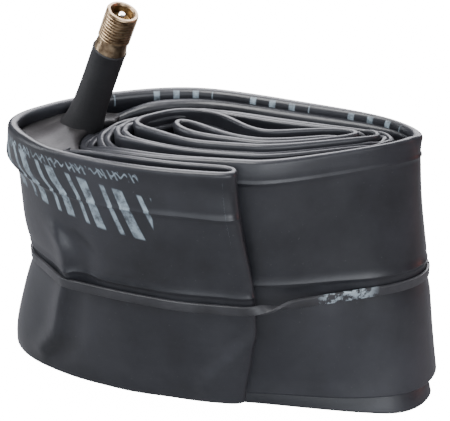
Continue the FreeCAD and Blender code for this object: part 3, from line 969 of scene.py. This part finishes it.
def printed_marks(tree):
    """Worn pale marks: a row of slanted bars and a dashed line in front, short bars behind."""
    lane = attribute(tree, "lane")
    across = attribute(tree, "across")
    depth = math_node(tree, "SUBTRACT", HEIGHT, across)
    slant = math_node(tree, "MULTIPLY_ADD", depth, MARK_SLANT, lane)
    small = math_node(tree, "MAXIMUM", dashed_line(tree, lane, depth, slant), inner_bars(tree, lane, across))
    all_marks = math_node(tree, "MAXIMUM", slanted_row(tree, lane, depth, slant), small)
    worn = ramp(tree, noise(tree, 420.0, 5.0, 0.7), [(0.34, (0.15, 0.15, 0.15)), (0.56, WHITE)])
    return math_node(tree, "MULTIPLY", all_marks, worn)


def tube_material():
    """Glossy cloudy butyl with dust and worn printed marks."""
    made, tree, shader = material("tube_rubber")
    cloudy = noise(tree, 30.0, 6.0, 0.62)
    fine = noise(tree, 1100.0, 3.0)
    colour = ramp(tree, cloudy, [(0.32, (0.0095, 0.0100, 0.0125)), (0.68, (0.033, 0.034, 0.041))])
    dust = ramp(tree, noise(tree, 1700.0, 2.0), [(0.70, BLACK), (0.78, WHITE)])
    dusty = mixed(tree, math_node(tree, "MULTIPLY", dust, 0.22), colour, (0.16, 0.16, 0.17))
    marks = printed_marks(tree)
    inked = mixed(tree, math_node(tree, "MULTIPLY", marks, 0.85), dusty, (0.30, 0.37, 0.42))
    tree.links.new(inked, shader.inputs["Base Color"])
    rough = math_node(tree, "MULTIPLY_ADD", cloudy, 0.34, 0.18)
    rough = math_node(tree, "MULTIPLY_ADD", fine, 0.08, rough)
    tree.links.new(math_node(tree, "MULTIPLY_ADD", marks, 0.22, rough), shader.inputs["Roughness"])
    bumped(tree, shader, [(fine, 0.10, 0.08), (noise(tree, 150.0, 4.0), 0.16, 0.5), (marks, 0.25, 0.08)])
    return made


def plain_rubber(name, dark, light, rough, grain):
    """Matt cloudy rubber with a fine grain."""
    made, tree, shader = material(name)
    cloudy = noise(tree, 120.0, 4.0)
    fine = noise(tree, grain, 3.0)
    colour = ramp(tree, cloudy, [(0.3, dark), (0.7, light)])
    tree.links.new(colour, shader.inputs["Base Color"])
    tree.links.new(math_node(tree, "MULTIPLY_ADD", fine, 0.2, rough - 0.1), shader.inputs["Roughness"])
    bumped(tree, shader, [(fine, 0.25, 0.15)])
    return made


def metal(name, dark, light, rough):
    """Cloudy bare metal."""
    made, tree, shader = material(name)
    cloudy = noise(tree, 700.0, 5.0)
    colour = ramp(tree, cloudy, [(0.3, dark), (0.7, light)])
    tree.links.new(colour, shader.inputs["Base Color"])
    shader.inputs["Metallic"].default_value = 1.0
    tree.links.new(math_node(tree, "MULTIPLY_ADD", cloudy, 0.25, rough - 0.12), shader.inputs["Roughness"])
    bumped(tree, shader, [(noise(tree, 2500.0, 3.0), 0.15, 0.05)])
    return made


def blotched(finish, start, end):
    """Adds pale worn blotches to the front of a band's material, between two places across the roll."""
    tree = finish.node_tree
    base = tree.nodes["Principled BSDF"].inputs["Base Color"]
    plain = base.links[0].from_socket
    spots = ramp(tree, noise(tree, 520.0, 4.0, 0.7), [(0.47, BLACK), (0.56, WHITE)])
    spots = product(tree, spots, window(tree, attribute(tree, "front_x"), start, end, 3.0))
    worn = mixed(tree, math_node(tree, "MULTIPLY", spots, 0.8), plain, (0.42, 0.50, 0.55))
    tree.links.new(worn, base)
    return finish


def dress(piece, finish):
    """Gives a piece its only material."""
    piece.data.materials.clear()
    piece.data.materials.append(finish)


rubber = tube_material()
patch_rubber = plain_rubber("patch_rubber", (0.010, 0.009, 0.0095), (0.030, 0.027, 0.029), 0.58, 1400.0)
jacket_rubber = plain_rubber("jacket_rubber", (0.011, 0.011, 0.012), (0.020, 0.019, 0.021), 0.66, 1600.0)
band_rubber = plain_rubber("band_rubber", (0.020, 0.020, 0.023), (0.045, 0.045, 0.050), 0.45, 1500.0)
band_rubber = blotched(band_rubber, 27.0, 42.0)
seal_rubber = plain_rubber("seal_rubber", (0.012, 0.012, 0.012), (0.025, 0.025, 0.025), 0.6, 1500.0)
brass = metal("stem_brass", (0.16, 0.10, 0.055), (0.52, 0.39, 0.25), 0.36)
core_brass = metal("core_brass", (0.34, 0.25, 0.13), (0.60, 0.48, 0.28), 0.36)
pin_metal = metal("pin_metal", (0.80, 0.78, 0.72), (0.95, 0.94, 0.90), 0.22)
spring_steel = metal("spring_steel", (0.45, 0.45, 0.46), (0.68, 0.68, 0.70), 0.28)

dress(tube, rubber)
dress(patch, patch_rubber)
dress(jacket, jacket_rubber)
dress(band, band_rubber)
nodes = frame["nodes"]
for name, finish in (
    ("stem", brass),
    ("core_plug", core_brass),
    ("core_barrel", core_brass),
    ("core_cup", core_brass),
    ("core_gasket", seal_rubber),
    ("core_seal", seal_rubber),
    ("core_pin", pin_metal),
    ("core_spring", spring_steel),
):
    dress(nodes[name], finish)

for piece, body, replaced, slot in (
    (tube, "tube_body", "tube", "tube_rubber"),
    (patch, "tube_body", "valve_patch", "patch_rubber"),
    (jacket, "tube_body", "valve_rubber", "jacket_rubber"),
    (band, "band_body", "rubber_band", "band_rubber"),
):
    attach(piece, body)
    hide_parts(replaced)

# ---------------------------------------------------------------- floor, light and camera


FLOOR_HALF = 4.0 / MM
FLOOR_GLOW = 16.0
WORLD_SEEN = 20.0


def make_floor():
    """A matt floor that looks white to the camera but throws little light on the object."""
    corners = [(x * FLOOR_HALF, y * FLOOR_HALF, 0) for x, y in ((-1, -1), (1, -1), (1, 1), (-1, 1))]
    floor = mesh_object("floor", corners, [(0, 1, 2, 3)], False)
    made, tree, shader = material("pale_floor")
    shader.inputs["Base Color"].default_value = (0.26, 0.26, 0.27, 1.0)
    shader.inputs["Roughness"].default_value = 0.75
    shader.inputs["Emission Color"].default_value = (1.0, 1.0, 1.0, 1.0)
    path = tree.nodes.new("ShaderNodeLightPath")
    glow = math_node(tree, "MULTIPLY", path.outputs["Is Camera Ray"], FLOOR_GLOW)
    tree.links.new(glow, shader.inputs["Emission Strength"])
    dress(floor, made)


def soft_light(name, place, target, size_x, size_y, power, colour=WHITE):
    """A rectangular lamp that points at a target."""
    data = bpy.data.lights.new(name, "AREA")
    data.shape = "RECTANGLE"
    data.size = size_x
    data.size_y = size_y
    data.energy = power
    data.color = colour
    light = bpy.data.objects.new(name, data)
    bpy.context.scene.collection.objects.link(light)
    light.location = place
    light.rotation_mode = "QUATERNION"
    light.rotation_quaternion = (Vector(target) - Vector(place)).to_track_quat("-Z", "Y")


def make_world():
    """White to the camera; to the object, a studio that is bright above and dim at eye level."""
    world = bpy.data.worlds.new("studio")
    bpy.context.scene.world = world
    world.use_nodes = True
    tree = world.node_tree
    background = tree.nodes["Background"]
    place = tree.nodes.new("ShaderNodeTexCoord")
    split = tree.nodes.new("ShaderNodeSeparateXYZ")
    tree.links.new(place.outputs["Generated"], split.inputs[0])
    low_shade = (0.0, (0.02, 0.02, 0.022))
    eye_shade = (0.25, (0.045, 0.046, 0.05))
    high_shade = (0.75, (0.24, 0.25, 0.28))
    shade = ramp(tree, split.outputs["Z"], [low_shade, eye_shade, high_shade])
    path = tree.nodes.new("ShaderNodeLightPath")
    seen = mixed(tree, path.outputs["Is Camera Ray"], shade, WHITE)
    tree.links.new(seen, background.inputs["Color"])
    strength = math_node(tree, "MULTIPLY_ADD", path.outputs["Is Camera Ray"], WORLD_SEEN - 1.0, 1.0)
    tree.links.new(strength, background.inputs["Strength"])


CAMERA_PLACE = (34.6, -266.3, 188.2)
CAMERA_TARGET = (1.7, 14.4, 38.0)
CAMERA_LENS = 98.8
SENSOR_WIDTH = 36.0


def make_camera():
    """The camera in front of the roll, looking down on it."""
    data = bpy.data.cameras.new("camera")
    data.lens = CAMERA_LENS
    data.sensor_width = SENSOR_WIDTH
    camera = bpy.data.objects.new("camera", data)
    bpy.context.scene.collection.objects.link(camera)
    place = Vector(CAMERA_PLACE) * MM
    target = Vector(CAMERA_TARGET) * MM
    camera.location = place
    camera.rotation_mode = "QUATERNION"
    camera.rotation_quaternion = (target - place).to_track_quat("-Z", "Y")
    data.clip_start = 0.01
    data.clip_end = 20.0
    bpy.context.scene.camera = camera


make_floor()
make_world()
soft_light("top", (-0.16, -0.10, 0.62), (0, 0, 0.05), 0.30, 0.30, 5.0)
soft_light("back", (0.05, 0.58, 0.50), (0, 0, 0.06), 0.8, 0.50, 12.0, (0.96, 0.95, 1.0))
soft_light("left", (-0.62, -0.06, 0.24), (0, 0, 0.04), 0.08, 0.50, 1.9, (0.92, 0.96, 1.0))
soft_light("front", (0.05, -0.85, 0.30), (0, 0, 0.03), 1.0, 0.40, 3.6, (0.90, 0.95, 1.0))
soft_light("front_right", (0.42, -0.62, 0.34), (0.02, 0, 0.03), 0.26, 0.40, 2.2, (0.92, 0.95, 1.0))
soft_light("warm_right", (0.60, 0.05, 0.12), (0.05, 0, 0.03), 0.10, 0.30, 0.35, (1.0, 0.40, 0.33))
make_camera()
